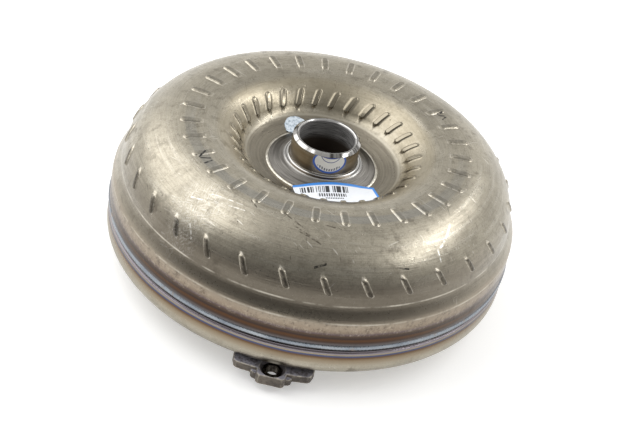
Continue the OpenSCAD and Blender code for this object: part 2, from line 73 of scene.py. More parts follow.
hub_r = mounts["hub_journal"]["dims"]["r_mm"]
hub_bore_r = mounts["hub_bore"]["dims"]["r_mm"]
hub_top = edge("impeller_hub", 1, 2)
hub_bottom = edge("impeller_hub", 0, 2)
pilot_r = mounts["crank_pilot"]["dims"]["r_mm"]
bolt_circle_r = mounts["lug_bolts"]["dims"]["pcd_mm"] / 2
lug_count = mounts["lug_bolts"]["dims"]["count"]
lug_hole_r = mounts["lug_bolts"]["dims"]["hole_r_mm"]
lug_face_z = mounts["lug_bolts"]["pos_m"][2] / MM
first_lug = math.radians(270)
bump_h = 1.0
spring_z = (edge("damper_springs", 0, 2) + edge("damper_springs", 1, 2)) / 2
spring_r = (edge("damper_springs", 1, 2) - edge("damper_springs", 0, 2)) / 2
spring_axis_r = edge("damper_springs", 1, 0) - spring_r
spring_count = 6
spring_wire_r = 1.2
spring_length = 37.9
crown_z = edge("impeller_shell", 1, 2) - bump_h
housing_r = edge("front_cover", 1, 0)
skirt_z = edge("rim_weld", 1, 2)
weld_z = edge("rim_weld", 0, 2)
cover_z = edge("front_cover", 0, 2)
shell_t = 3.6
cover_t = 5.0

# The impeller shell's outline runs over the bowl's cone floor and fillet, the inner torus arc, the flat
# crown, the outer torus arc, the flare and the skirt
inner_arc = {"c": (88.0, crown_z - 36.0), "r": 36.0}
outer_arc = {"c": (97.0, crown_z - 40.8), "r": 40.8}
wall_angle = math.radians(145)
crease_angle = math.radians(5)
bowl_r = 13.4
bowl_c = polar(inner_arc["r"] + bowl_r, wall_angle, *inner_arc["c"])
floor_slope = math.radians(16.2)
seat_r = 40.5
flange_r = edge("impeller_hub", 1, 0)
seat_z = (bowl_c[1] - bowl_r * math.cos(floor_slope)
          - (bowl_c[0] + bowl_r * math.sin(floor_slope) - seat_r) * math.tan(floor_slope))
shoulder_z = 58.5
tab_count = 31
first_tab = math.radians(99)


# ---- mesh helpers ----

def link(name, data):
    """A new object in the scene, from a mesh, a light or a camera."""
    piece = bpy.data.objects.new(name, data)
    bpy.context.scene.collection.objects.link(piece)
    return piece


def shade_smooth(mesh):
    mesh.polygons.foreach_set("use_smooth", [True] * len(mesh.polygons))


def add_mesh(name, points, faces, sharp=38):
    """A new object from points, shaded smooth apart from edges sharper than that angle in degrees."""
    mesh = bpy.data.meshes.new(name)
    mesh.from_pydata((np.asarray(points, float) * MM).tolist(), [], [list(f) for f in faces])
    mesh.validate()
    shade_smooth(mesh)
    mesh.set_sharp_from_angle(angle=math.radians(sharp))
    return link(name, mesh)


def as_object(name, work):
    """A new object from a bmesh in metres, which is freed."""
    mesh = bpy.data.meshes.new(name)
    work.to_mesh(mesh)
    work.free()
    return link(name, mesh)


def arc(centre, radius, start, end, step):
    """Points along an arc, from one angle to another in radians. step is in degrees."""
    count = max(2, math.ceil(abs(math.degrees(end - start)) / step))
    return [polar(radius, start + (end - start) * i / count, *centre) for i in range(count + 1)]


def grid_faces(rows, columns, closed_rows=True, closed_columns=True):
    """The quads of a grid of points, row by row. A closed direction joins its last points to its first."""
    index = np.arange(rows * columns).reshape(rows, columns)
    right = np.roll(index, -1, axis=1)
    faces = np.stack([index, right, np.roll(right, -1, axis=0), np.roll(index, -1, axis=0)], axis=2)
    faces = faces[:rows if closed_rows else -1, :columns if closed_columns else -1]
    return faces.reshape(-1, 4).tolist()


def rounded(corners, step):
    """A closed outline with filleted corners. Each corner is (radius, height) or (radius, height, fillet)."""
    outline = []
    for i, corner in enumerate(corners):
        fillet = corner[2] if len(corner) > 2 else 0
        here = Vector(corner[:2])
        before = Vector(corners[i - 1][:2]) - here
        after = Vector(corners[(i + 1) % len(corners)][:2]) - here
        if fillet == 0:
            outline.append(tuple(here))
            continue
        a, b = before.normalized(), after.normalized()
        half = a.angle(b) / 2
        reach = min(fillet / math.tan(half), before.length * 0.49, after.length * 0.49)
        radius = reach * math.tan(half)
        centre = here + (a + b).normalized() * radius / math.sin(half)
        first, last = here + a * reach - centre, here + b * reach - centre
        sweep = first.angle_signed(last) * -1
        count = max(2, math.ceil(abs(math.degrees(sweep)) / step))
        start = math.atan2(first.y, first.x)
        outline += [polar(radius, start + sweep * k / count, *centre) for k in range(count + 1)]
    return outline


def revolve(name, outline, steps, sharp=38, ripple=None):
    """A turned solid from a closed outline. ripple(radius, height, angle) gives a new radius and height."""
    angles = np.arange(steps) * 2 * math.pi / steps
    points, rows = [], []
    for r, z in outline:
        if r < 1e-6:
            rows.append([len(points)] * steps)
            points.append((0, 0, z))
            continue
        rows.append(list(range(len(points), len(points) + steps)))
        for a in angles:
            rr, zz = ripple(r, z, a) if ripple else (r, z)
            points.append((*polar(rr, a), zz))
    faces = []
    for k in range(len(rows)):
        one, two = rows[k], rows[(k + 1) % len(rows)]
        if one[0] == one[1] and two[0] == two[1]:
            continue
        for i in range(steps):
            j = (i + 1) % steps
            corners = [one[i], one[j], two[j], two[i]]
            faces.append(list(dict.fromkeys(corners)))
    piece = add_mesh(name, points, faces, sharp)
    face_outwards(piece)
    return piece


def face_outwards(piece):
    """Turns every face's normal to the outside."""
    work = bmesh.new()
    work.from_mesh(piece.data)
    bmesh.ops.recalc_face_normals(work, faces=work.faces)
    work.to_mesh(piece.data)
    work.free()


def smoothstep(x):
    """An eased rise from 0 to 1, for arrays."""
    x = np.clip(x, 0, 1)
    return x * x * (3 - 2 * x)


def ramp_step(u, ends):
    """A straight rise from 0 to 1 whose two ends are eased over that share of its length."""
    slope = 1 / (1 - ends)
    if u < ends:
        return slope * u * u / (2 * ends)
    if u > 1 - ends:
        return 1 - slope * (1 - u) ** 2 / (2 * ends)
    return slope * (u - ends / 2)


# ---- impeller shell ----

def on_arc(circle, angle):
    """The radius and height of a point on one of the outline's circles."""
    return polar(circle["r"], angle, *circle["c"])


# The three rings of tabs, from the inner one: radius and height of a tab's middle, its turn from the crown's
# tab and its slant in degrees, its length and half its width
TAB_KEYS = ("middle", "phase", "slant", "length", "half")
TAB_RINGS = [dict(zip(TAB_KEYS, row)) for row in (
    (on_arc(inner_arc, math.radians(134.5)), 4.5, 17, 13.4, 1.8),
    ((94.4, crown_z), 0.0, 0, 14.6, 2.2),
    (on_arc(outer_arc, math.radians(23)), 6.1, 27, 12.8, 1.7),
)]


def shell_line(o, step):
    """The shell's outline from the hub's flange to the skirt, moved inwards by o."""
    floor_end = (bowl_c[0] + (bowl_r + o) * math.sin(floor_slope),
                 bowl_c[1] - (bowl_r + o) * math.cos(floor_slope))
    line = [(flange_r + 0.02, seat_z - o), (seat_r + o * math.tan(floor_slope / 2), seat_z - o), floor_end]
    line += arc(bowl_c, bowl_r + o, -math.pi / 2 + floor_slope, wall_angle - math.pi, step)[1:]
    line += arc(inner_arc["c"], inner_arc["r"] - o, wall_angle, math.pi / 2, step)[1:]
    line += arc(outer_arc["c"], outer_arc["r"] - o, math.pi / 2, crease_angle, step)
    crease_z = on_arc(outer_arc, crease_angle)[1]
    flare_r = outer_arc["c"][0] + math.sqrt((outer_arc["r"] - o) ** 2 - (crease_z - outer_arc["c"][1]) ** 2)
    for u in np.linspace(0, 1, 21)[1:]:
        line.append((flare_r + (housing_r - o - flare_r) * ramp_step(u, 0.2),
                     crease_z - (crease_z - shoulder_z) * u))
    line.append((housing_r - o, skirt_z))
    return line


def resampled(line, spacing):
    """Points along a line, and how far along it they are. spacing(distance) gives the gap to the next one."""
    line = np.array(line, float)
    run = np.concatenate([[0], np.cumsum(np.linalg.norm(np.diff(line, axis=0), axis=1))])
    stops = [0.0]
    while stops[-1] < run[-1]:
        stops.append(stops[-1] + spacing(stops[-1]))
    stops = np.array(stops) * run[-1] / stops[-1]
    return np.column_stack([np.interp(stops, run, line[:, 0]), np.interp(stops, run, line[:, 1])]), stops


def impeller_shell():
    """The pressed shell with its embossed tabs. The grid's columns run along the tabs."""
    line = shell_line(0, 1.0)
    dense, run = resampled(line, lambda s: 0.05)
    for ring in TAB_RINGS:
        gap = np.linalg.norm(dense - np.array(ring["middle"]), axis=1)
        ring["at"] = run[np.argmin(gap)]
        ring["reach"] = ring["length"] / 2 * math.cos(math.radians(ring["slant"]))

    def spacing(s):
        for ring in TAB_RINGS:
            beyond = abs(s - ring["at"]) - ring["reach"]
            if -3.4 < beyond < 1.1:
                return 0.42
            if beyond <= -3.4:
                return 1.2
        return 2.6

    rows, at = resampled(line, spacing)
    tangent = np.gradient(rows, at, axis=0)
    tangent /= np.linalg.norm(tangent, axis=1)[:, None]
    normal = np.column_stack([-tangent[:, 1], tangent[:, 0]])
    # the turn of each row, so that the columns follow the tabs of every ring
    knots_s, knots_turn = [0], [TAB_RINGS[0]["phase"]]
    for ring in TAB_RINGS:
        lean = math.tan(math.radians(ring["slant"])) * ring["reach"] / ring["middle"][0]
        sign = -1 if ring is TAB_RINGS[0] else 1
        for side in (-1, 1):
            knots_s.append(ring["at"] + side * (ring["reach"] + 1.5))
            knots_turn.append(ring["phase"] + side * sign * math.degrees(lean) * (1 + 1.5 / ring["reach"]))
    knots_s.append(at[-1])
    knots_turn.append(knots_turn[-1])
    turn = np.radians(np.interp(at, knots_s, knots_turn))
    # columns, as distances from a tab's middle at the crown
    crown_r = TAB_RINGS[1]["middle"][0]
    side = np.array([0.8, 1.35, 1.7, 2.0, 2.3, 2.6, 3.0, 4.0, 5.8, 7.8])
    across = np.concatenate([-side[::-1], [0], side, [math.pi * crown_r / tab_count]]) / crown_r
    columns = (first_tab + np.arange(tab_count)[:, None] * 2 * math.pi / tab_count + across[None, :]).ravel()
    local = np.tile(across, tab_count)
    rise = np.zeros((len(rows), len(columns)))
    for ring in TAB_RINGS:
        slant = math.radians(ring["slant"])
        along = (at - ring["at"])[:, None] / math.cos(slant)
        width = rows[:, :1] * local[None, :] * math.cos(slant)
        core = ring["length"] / 2 - ring["half"]
        reach = np.hypot(np.maximum(np.abs(along) - core, 0), width)
        rise += bump_h * (1 - smoothstep((reach - ring["half"] + 0.55) / 1.1))

    def placed(r, z, a):
        return np.stack([r * np.cos(a), r * np.sin(a), z + 0 * a], axis=2)

    outer = placed(rows[:, :1] + normal[:, :1] * rise, rows[:, 1:] + normal[:, 1:] * rise,
                   columns[None, :] + turn[:, None])
    inner_rows = resampled(shell_line(shell_t, 4.0), lambda s: 9.0)[0]
    inner = placed(inner_rows[:, :1], inner_rows[:, 1:], columns[None, :])[::-1]
    grid = np.concatenate([outer, inner])
    piece = add_mesh("pressed_shell", grid.reshape(-1, 3), grid_faces(*grid.shape[:2]), 50)
    face_outwards(piece)
    raised = piece.data.attributes.new("rise", "FLOAT", "POINT")
    everywhere = np.concatenate([rise.ravel(), np.zeros(inner.size // 3)])
    raised.data.foreach_set("value", everywhere.astype(np.float32))
    return piece


# ---- the rest of the housing ----

def front_cover():
    """The stamped cover, with the two turned grooves under the rim weld."""
    inner_z = cover_z + cover_t
    spigot_r = housing_r - shell_t - 0.05
    wall_r = 136.8
    return revolve("stamped_cover", rounded([
        (0, cover_z + 1.5), (95, cover_z + 1.5, 4), (99, cover_z, 4), (housing_r, cover_z, 10),
        (housing_r, 35.2, 0.3), (housing_r - 0.7, 35.6, 0.3), (housing_r - 0.7, 36.1, 0.3),
        (housing_r - 0.1, 36.5, 0.25), (housing_r - 0.1, 37.1, 0.25), (housing_r - 1.3, 37.5, 0.2),
        (housing_r - 1.3, weld_z), (spigot_r, weld_z), (spigot_r, 52, 0.6), (wall_r, 52, 0.6),
        (wall_r, inner_z, 5), (0, inner_z)], 9), 360)


def rim_weld():
    """The bead, with the ripples that the weld pool leaves."""
    middle, half = (skirt_z + weld_z) / 2, (skirt_z - weld_z) / 2
    out = edge("rim_weld", 1, 0) - housing_r
    spigot_r = housing_r - shell_t

    def ripple(r, z, a):
        share = max(0.0, (r - housing_r) / out)
        wave = 0.5 + 0.5 * math.cos(a * 360 + 2.2 * (z - middle) ** 2 / half)
        drift = math.sin(a * 7 + 1) + math.sin(a * 17) + 0.6 * math.sin(a * 41 + 2)
        return r - share * (0.16 * wave + 0.05 * (drift + 2.6)), z + share * 0.09 * drift

    bead = [(housing_r + out * math.cos(t), middle + half * math.sin(t))
            for t in np.linspace(-math.pi / 2, math.pi / 2, 11)]
    return revolve("weld_bead", [(spigot_r, weld_z)] + bead + [(spigot_r, skirt_z)], 2160, 60, ripple)


def impeller_hub():
    """The pump hub: a ground wall with a polished chamfer, on a turned flange."""
    return revolve("pump_hub", rounded([
        (hub_bore_r, hub_bottom), (flange_r, hub_bottom), (flange_r, flange_edge_z, 0.5), (28.6, 89.2, 0.8),
        (27.2, 89.9, 0.6), (hub_r, 90.2, 2.2), (hub_r, hub_top - 1.8, 0.35), (hub_r - 2.1, hub_top, 0.35),
        (hub_bore_r + 1.0, hub_top, 0.3), (hub_bore_r, hub_top - 1.0, 0.3)], 9), 360)


def hub_weld():
    """The narrow bright seam between the hub's flange and the shell."""
    return revolve("flange_seam", rounded([
        (flange_r + 0.05, seat_z), (39.8, seat_z + 0.02), (39.6, seat_z + 0.55, 0.3),
        (38.6, seat_z + 0.95, 0.4), (flange_r + 0.05, seat_z + 0.9)], 20), 240, 60,
        lambda r, z, a: (r, z - (0.05 * math.sin(a * 60) + 0.05 if z > seat_z + 0.5 else 0)))


def crank_pilot():
    """The turned pilot, with a lathe centre in its end."""
    return revolve("turned_pilot", rounded([
        (0, 5.5), (1.6, 4.4, 0.3), (1.6, 2.6), (4.2, 0, 0.2), (pilot_r - 1.5, 0, 0.3), (pilot_r, 1.5, 0.3),
        (pilot_r, cover_z + 1.5), (0, cover_z + 1.5)], 12), 240)


def block(outline, z0, z1):
    """A bmesh of an outline extruded between two heights."""
    work = bmesh.new()
    low = [work.verts.new((x * MM, y * MM, z0 * MM)) for x, y in outline]
    face = work.faces.new(low)
    raised = bmesh.ops.extrude_face_region(work, geom=[face])
    for v in raised["geom"]:
        if isinstance(v, bmesh.types.BMVert):
            v.co.z = z1 * MM
    bmesh.ops.recalc_face_normals(work, faces=work.faces)
    return work


def mirrored(half):
    """An outline from the points on one side, with the other side as their mirror image in y."""
    return half + [(x, -y) for x, y in reversed(half)]


def apply_modifiers(piece):
    """Replaces the mesh with the one that the modifiers make."""
    shown = piece.evaluated_get(bpy.context.evaluated_depsgraph_get())
    mesh = bpy.data.meshes.new_from_object(shown)
    piece.modifiers.clear()
    piece.data = mesh


def cut_by(piece, tool, operation):
    """Joins a tool to a piece, or takes it away, and removes the tool."""
    step = piece.modifiers.new("cut", "BOOLEAN")
    step.operation = operation
    step.solver = "EXACT"
    step.object = tool
    bpy.context.view_layer.update()
    apply_modifiers(piece)
    bpy.data.objects.remove(tool)


def cone(name, low_r, high_r, height, middle_z):
    """A cone or cylinder on the axis of the lug's hole."""
    work = bmesh.new()
    bmesh.ops.create_cone(work, cap_ends=True, segments=48, radius1=low_r * MM, radius2=high_r * MM,
                          depth=height * MM)
    bmesh.ops.translate(work, verts=work.verts, vec=(bolt_circle_r * MM, 0, middle_z * MM))
    return as_object(name, work)


def forged_lug():
    """One lug along +X: two ears, stepped shoulders and a nut-like boss, with the soft edges of a forging."""
    ear_r, boss_r, root_r = bolt_circle_r + 3.3, bolt_circle_r + 9.3, 113.0
    ear_half = 27.3
    ear_edge = [polar(ear_r, t) for t in np.radians(np.linspace(0, 9.6, 8))]
    ears = mirrored([(root_r, 18), (122, ear_half - 2.5), (126, ear_half), (136, ear_half),
                     (140.8, ear_half - 1.4)] + ear_edge[:0:-1])
    shoulder = mirrored([(122, 14.2), (144.6, 13.8), (146.2, 12.2), (147.4, 8.5)])
    boss = mirrored([(124, 10.4), (bolt_circle_r + 1, 10.2), (boss_r - 1.6, 9.6), (boss_r, 7.8)])
    lug = as_object("forged_lug", block(ears, lug_face_z + 2.1, cover_z))
    cut_by(lug, as_object("shoulder", block(shoulder, lug_face_z + 0.1, cover_z - 2.6)), "UNION")
    cut_by(lug, as_object("boss", block(boss, lug_face_z + 0.1, cover_z)), "UNION")
    cut_by(lug, cone("hole", lug_hole_r + 1.1, lug_hole_r + 1.1, 40, 10), "DIFFERENCE")
    cut_by(lug, cone("mouth", lug_hole_r + 0.6, lug_hole_r + 4.0, 4.4, cover_z - 2.0), "DIFFERENCE")
    remesh = lug.modifiers.new("skin", "REMESH")
    remesh.mode = "VOXEL"
    remesh.voxel_size = 0.42 * MM
    soften = lug.modifiers.new("soften", "SMOOTH")
    soften.factor = 0.5
    soften.iterations = 3
    texture = bpy.data.textures.new("forging", "CLOUDS")
    texture.noise_scale = 4.5 * MM
    uneven = lug.modifiers.new("uneven", "DISPLACE")
    uneven.texture = texture
    uneven.texture_coords = "LOCAL"
    uneven.strength = 0.35 * MM
    uneven.mid_level = 0.62
    apply_modifiers(lug)
    return lug


def thread_sleeve():
    """The tapped hole of one lug: a helical thread, worked out turn by turn."""
    pitch, depth, sleeve_r = 1.5, 0.85, lug_hole_r + 1.3
    around, low, high = 40, lug_face_z + 0.6, cover_z - 1.6
    levels = np.arange(0, high - low + 1e-6, pitch / 6)
    points = []
    for level in levels:
        for i in range(around):
            a = 2 * math.pi * i / around
            phase = ((low + level) / pitch + i / around) % 1
            r = lug_hole_r - depth * abs(2 * phase - 1)
            points.append((*polar(r, a, bolt_circle_r), low + level))
    for z in (high, low):
        for i in range(around):
            points.append((*polar(sleeve_r, 2 * math.pi * i / around, bolt_circle_r), z))
    sleeve = add_mesh("thread_sleeve", points, grid_faces(len(levels) + 2, around), 30)
    face_outwards(sleeve)
    return sleeve


def damper_spring(name, angle):
    """One coil spring of the damper, lying across the radius at this angle, with closed ends.

    Returns the piece, the way it lies and its middle in metres."""
    turns, around, sides, closed = 7.5, 24, 10, 2 * spring_wire_r + 0.1
    coil_r = spring_r - spring_wire_r
    open_pitch = (spring_length - 2 * spring_wire_r - 2 * closed) / (turns - 2)
    out = Vector((*polar(1, angle), 0))
    along = Vector((-math.sin(angle), math.cos(angle), 0))
    up = Vector((0, 0, 1))
    middle = out * spring_axis_r + up * spring_z
    points = []
    steps = int(turns * around)
    for i in range(steps + 1):
        turn = i / around
        run = closed * (min(turn, 1) + max(turn - turns + 1, 0))
        run += open_pitch * min(max(turn - 1, 0), turns - 2)
        spoke = out * math.cos(2 * math.pi * turn) + up * math.sin(2 * math.pi * turn)
        centre = middle + along * (run + spring_wire_r - spring_length / 2) + spoke * coil_r
        for k in range(sides):
            a = 2 * math.pi * k / sides
            points.append(centre + (spoke * math.cos(a) + along * math.sin(a)) * spring_wire_r)
    faces = grid_faces(steps + 1, sides, closed_rows=False)
    faces.append(tuple(range(sides))[::-1])
    faces.append(tuple(steps * sides + k for k in range(sides)))
    return add_mesh(name, points, faces, 50), along, middle * MM


def repeated(piece, name, angles):
    """One object that holds a copy of the piece at each angle round the axis."""
    work = bmesh.new()
    for a in angles:
        copy = piece.data.copy()
        copy.transform(Matrix.Rotation(a, 4, "Z"))
        work.from_mesh(copy)
        bpy.data.meshes.remove(copy)
    bpy.data.objects.remove(piece)
    whole = as_object(name, work)
    shade_smooth(whole.data)
    return whole


# ---- labels ----

label_size = (-27.0, 31.0, 28.8, 51.5)           # from and to, across the direction below and outwards
label_angle = math.radians(290)
label_spacing = 0.8
sticker_angle = math.radians(284.5)
sticker_z = 101.3
sticker_half = (12.0, 8.5)
dot_place = (43.0, math.radians(122.5), 10.0)    # distance from the axis, direction, and the dab's radius
flange_edge_z = seat_z + 1.1


def label(name, points, faces, flat, thickness):
    """A thin sheet of points and faces. flat has each point's place on the label, for the UV map."""
    piece = add_mesh(name, points, faces, 60)
    uv = piece.data.uv_layers.new(name="label")
    for loop in piece.data.loops:
        uv.data[loop.index].uv = flat[loop.vertex_index]
    solid = piece.modifiers.new("thickness", "SOLIDIFY")
    solid.thickness = thickness * MM
    solid.offset = -1
    return piece


def disc(name, place, outline, rings=14, spokes=120, thickness=0.12):
    """A thin round label: outline(angle) gives its radius, and place(u, v) its points."""
    faces, flat = [], [(0, 0)]
    for k in range(1, rings + 1):
        for i in range(spokes):
            a = 2 * math.pi * i / spokes
            flat.append(polar(outline(a) * k / rings, a))
    for i in range(spokes):
        j = (i + 1) % spokes
        faces.append((0, 1 + i, 1 + j))
        for k in range(rings - 1):
            a, b = 1 + k * spokes, 1 + (k + 1) * spokes
            faces.append((a + i, b + i, b + j, a + j))
    return label(name, [place(u, v) for u, v in flat], faces, flat, thickness)


def floor_height(r):
    """Height of the labels' underside over the hub's flange, the seam and the bowl's floor and fillet."""
    slope = (89.3 - flange_edge_z) / (flange_r - 27.7)
    valley = (36.8, 42.0)
    on_flange = flange_edge_z + (flange_r - min(r, valley[0])) * slope
    on_floor = seat_z + (max(r, valley[1]) - seat_r) * math.tan(floor_slope)
    if r <= valley[0]:
        return on_flange
    if r < valley[1]:
        return on_flange + (on_floor - on_flange) * (r - valley[0]) / (valley[1] - valley[0])
    if r < bowl_c[0] + bowl_r * math.sin(floor_slope):
        return on_floor
    return bowl_c[1] - math.sqrt(bowl_r ** 2 - min(r - bowl_c[0], bowl_r * 0.85) ** 2)


def bowl_label():
    """The long printed label, laid from the flange over the seam to the bowl's floor."""
    u0, u1, v0, v1 = label_size
    us = np.linspace(u0, u1, round((u1 - u0) / label_spacing))
    vs = np.linspace(v0, v1, round((v1 - v0) / label_spacing))
    flat = [(u, v) for v in vs for u in us]
    points = []
    for u, v in flat:
        x = v * math.cos(label_angle) - u * math.sin(label_angle)
        y = v * math.sin(label_angle) + u * math.cos(label_angle)
        points.append((x, y, floor_height(math.hypot(x, y)) + 0.2))
    faces = grid_faces(len(vs), len(us), closed_rows=False, closed_columns=False)
    return label("printed_label", points, faces, flat, 0.12)


def hub_sticker():
    """The oval sticker on the hub's wall, cut off by the chamfer."""
    def place(u, v):
        return (*polar(hub_r + 0.14, sticker_angle + u / hub_r), sticker_z + v)

    def outline(a):
        wide, tall = sticker_half
        low = wide * tall / math.hypot(tall * math.cos(a), wide * math.sin(a))
        top = hub_top - 1.9 - sticker_z
        return min(low, top / math.sin(a)) if math.sin(a) > 0.05 else low
    return disc("hub_label", place, outline)


def inspection_dot():
    """A dab of pale paint over the seam, with an uneven edge."""
    radius, angle, size = dot_place

    def place(u, v):
        x, y = polar(radius, angle, u, v)
        return (x, y, floor_height(math.hypot(x, y)) + 0.16)

    def outline(a):
        wave = 0.02 * math.sin(3 * a + 1) + 0.015 * math.sin(8 * a) + 0.012 * math.sin(19 * a + 2)
        return size * (0.955 + wave)
    return disc("paint_dab", place, outline, 16, 160, 0.1)


# ---- node trees ----

class Nodes:
    """Short calls for building a node tree. Values may be numbers or sockets."""

    def __init__(self, tree):
        self.tree = tree

    def put(self, socket, value):
        """Links a socket to an input, or sets the input to a value."""
        if isinstance(value, bpy.types.NodeSocket):
            self.tree.links.new(value, socket)
        elif socket.type == "RGBA":
            socket.default_value = (*value, 1)
        else:
            socket.default_value = value

    def node(self, kind, inputs=(), output=0, **settings):
        """Makes a shader node with inputs, by name or number, and settings. Returns one of its outputs."""
        node = self.tree.nodes.new("ShaderNode" + kind)
        for key, value in settings.items():
            setattr(node, key, value)
        for key, value in dict(inputs).items():
            self.put(node.inputs[key], value)
        return node.outputs[output]

    def math(self, operation, *values):
        return self.node("Math", enumerate(values), operation=operation)

    def chain(self, operation, values):
        """One operation on all the values in turn."""
        return functools.reduce(lambda a, b: self.math(operation, a, b), values)

    def add(self, *values):
        return self.chain("ADD", values)

    def product(self, *values):
        return self.chain("MULTIPLY", values)

    def most(self, *values):
        return self.chain("MAXIMUM", values)

    def hypot(self, x, y):
        return self.math("SQRT", self.add(self.product(x, x), self.product(y, y)))

    def away(self, place, middle, half=(1, 1)):
        """Distance of a place (x, y) from a middle, in units of an oval's half width and half height."""
        sides = [self.product(self.math("SUBTRACT", side, at), 1 / size)
                 for side, at, size in zip(place, middle, half)]
        return self.hypot(*sides)

    def mix(self, a, b, share):
        return self.node("Mix", {"Factor": share, 6: a, 7: b}, 2, data_type="RGBA")

    def span(self, value, low, high, to_low=0.0, to_high=1.0, smooth=False):
        """Turns low..high into to_low..to_high, and holds the ends beyond."""
        ends = {"Value": value, "From Min": low, "From Max": high, "To Min": to_low, "To Max": to_high}
        return self.node("MapRange", ends, interpolation_type="SMOOTHSTEP" if smooth else "LINEAR")

    def band(self, value, low, high, soft):
        """1 between low and high, fading to 0 over soft on either side."""
        rise = self.span(value, low - soft, low + soft, smooth=True)
        fall = self.span(value, high - soft, high + soft, 1.0, 0.0, smooth=True)
        return self.product(rise, fall)

    def ramp(self, value, stops):
        """A colour ramp. Each stop is a share from 0 to 1 and a colour."""
        colour = self.node("ValToRGB", {0: value})
        band = colour.node.color_ramp
        while len(band.elements) < len(stops):
            band.elements.new(0.5)
        for element, (at, shade) in zip(band.elements, stops):
            element.position = at
            element.color = (*shade, 1)
        return colour

    def vector(self, x, y, z):
        return self.node("CombineXYZ", enumerate((x, y, z)))

    def parts(self, vector):
        """The three values of a vector."""
        return self.node("SeparateXYZ", {0: vector}).node.outputs[:3]

    def vector_math(self, operation, a, b=(0, 0, 0)):
        second = "Scale" if operation == "SCALE" else 1
        output = "Value" if operation in ("DOT_PRODUCT", "LENGTH") else "Vector"
        return self.node("VectorMath", {0: a, second: b}, output, operation=operation)


class Surface(Nodes):
    """A material: a tone painted in layers, then a gloss. r is the distance from the Z axis."""

    def __init__(self, name):
        self.material = bpy.data.materials.new(name)
        self.material.use_nodes = True
        super().__init__(self.material.node_tree)
        self.tree.nodes.clear()
        self.output = self.tree.nodes.new("ShaderNodeOutputMaterial").inputs["Surface"]
        self.shader = self.node("BsdfPrincipled").node
        self.put(self.output, self.shader.outputs[0])
        self.position = self.node("TexCoord", output="Object")
        self.x, self.y, self.z = (self.product(side, 1 / MM) for side in self.parts(self.position))
        self.r = self.hypot(self.x, self.y)
        self.tone = None

    def paint(self, colour, *masks):
        """Covers the tone with a colour, as far as the masks' product goes."""
        self.tone = self.mix(self.tone, colour, self.product(*masks))

    def noise(self, scale, detail=3.0, rough=0.55, place=None):
        """Noise with that many cells per metre, or per unit of another place."""
        place = self.position if place is None else place
        return self.node("TexNoise", {"Vector": place, "Scale": scale, "Detail": detail, "Roughness": rough})

    def turned(self, run, lines, length=3.0, detail=3.0):
        """Noise drawn out round the axis, with that many lines per millimetre of run."""
        sides = [self.product(self.math("DIVIDE", side, self.r), length) for side in (self.x, self.y)]
        return self.noise(1.0, detail, 0.6, self.vector(*sides, self.product(run, lines)))

    def scratches(self, degrees, fineness, cover):
        """Straight thin streaks in one direction: the peaks of stretched noise above the level cover."""
        across = self.node("Mapping", {"Vector": self.position, "Rotation": (0, 0, math.radians(degrees))})
        stretch = (fineness * 0.045, fineness, fineness * 0.3)
        drawn = self.node("Mapping", {"Vector": across, "Scale": stretch})
        return self.span(self.noise(1.0, 1.0, 0.5, drawn), cover, cover + 0.05, smooth=True)

    def strokes(self, lines, width):
        """A mask of soft-edged lines through points, seen from above."""
        plan = self.vector(self.x, self.y, 0.0)
        gaps = []
        for line in lines:
            for start, end in zip(line, line[1:]):
                start, end = Vector((*start, 0)), Vector((*end, 0))
                run = end - start
                away = self.vector_math("SUBTRACT", plan, start)
                share = self.vector_math("DOT_PRODUCT", away, run / run.length_squared)
                share = self.math("MINIMUM", self.most(share, 0.0), 1.0)
                foot = self.vector_math("SCALE", run, share)
                gaps.append(self.vector_math("LENGTH", self.vector_math("SUBTRACT", away, foot)))
        return self.span(self.chain("MINIMUM", gaps), width * 0.35, width * 0.65, 1.0, 0.0, smooth=True)

    def label_uv(self):
        """The place on a label in millimetres: across, and outwards or up."""
        return self.parts(self.node("UVMap", uv_map="label"))[:2]

    def bump(self, height, metres, strength):
        normal = self.node("Bump", {"Height": height, "Distance": metres, "Strength": strength})
        self.put(self.shader.inputs["Normal"], normal)

    def finish(self, roughness, metallic=1.0, **more):
        """Connects the tone and the gloss, and returns the material."""
        inputs = {"Base_Color": self.tone, "Roughness": roughness, "Metallic": metallic, **more}
        for key, value in inputs.items():
            self.put(self.shader.inputs[key.replace("_", " ")], value)
        return self.material


# ---- materials ----

# The finishes of the pieces inside, by the record's slot: dark and light tone, roughness, metallic,
# grain per metre, and how strongly turning marks show
INNER_FINISHES = {
    "sheet_steel": ((0.235, 0.215, 0.175), (0.430, 0.400, 0.340), 0.36, 1.0, 260, 0.35),
    "hardened_steel": ((0.175, 0.165, 0.155), (0.330, 0.318, 0.300), 0.30, 1.0, 420, 0.60),
    "bright_steel": ((0.480, 0.475, 0.465), (0.660, 0.655, 0.645), 0.17, 1.0, 700, 0.45),
    "spring_steel": ((0.130, 0.128, 0.132), (0.270, 0.262, 0.255), 0.28, 1.0, 380, 0.10),
    "cast_aluminium": ((0.470, 0.470, 0.465), (0.640, 0.640, 0.635), 0.52, 1.0, 900, 0.0),
    "bronze_cage": ((0.420, 0.255, 0.095), (0.600, 0.400, 0.185), 0.32, 1.0, 500, 0.35),
    "pilot_steel": ((0.200, 0.190, 0.175), (0.420, 0.405, 0.375), 0.28, 1.0, 380, 0.90),
    "phenolic": ((0.045, 0.024, 0.014), (0.105, 0.060, 0.036), 0.45, 0.0, 1100, 0.0),
    "friction_paper": ((0.070, 0.048, 0.030), (0.175, 0.125, 0.080), 0.88, 0.0, 1500, 0.0),
    "seal_ptfe": ((0.090, 0.075, 0.060), (0.150, 0.128, 0.105), 0.40, 0.0, 600, 0.2),
}


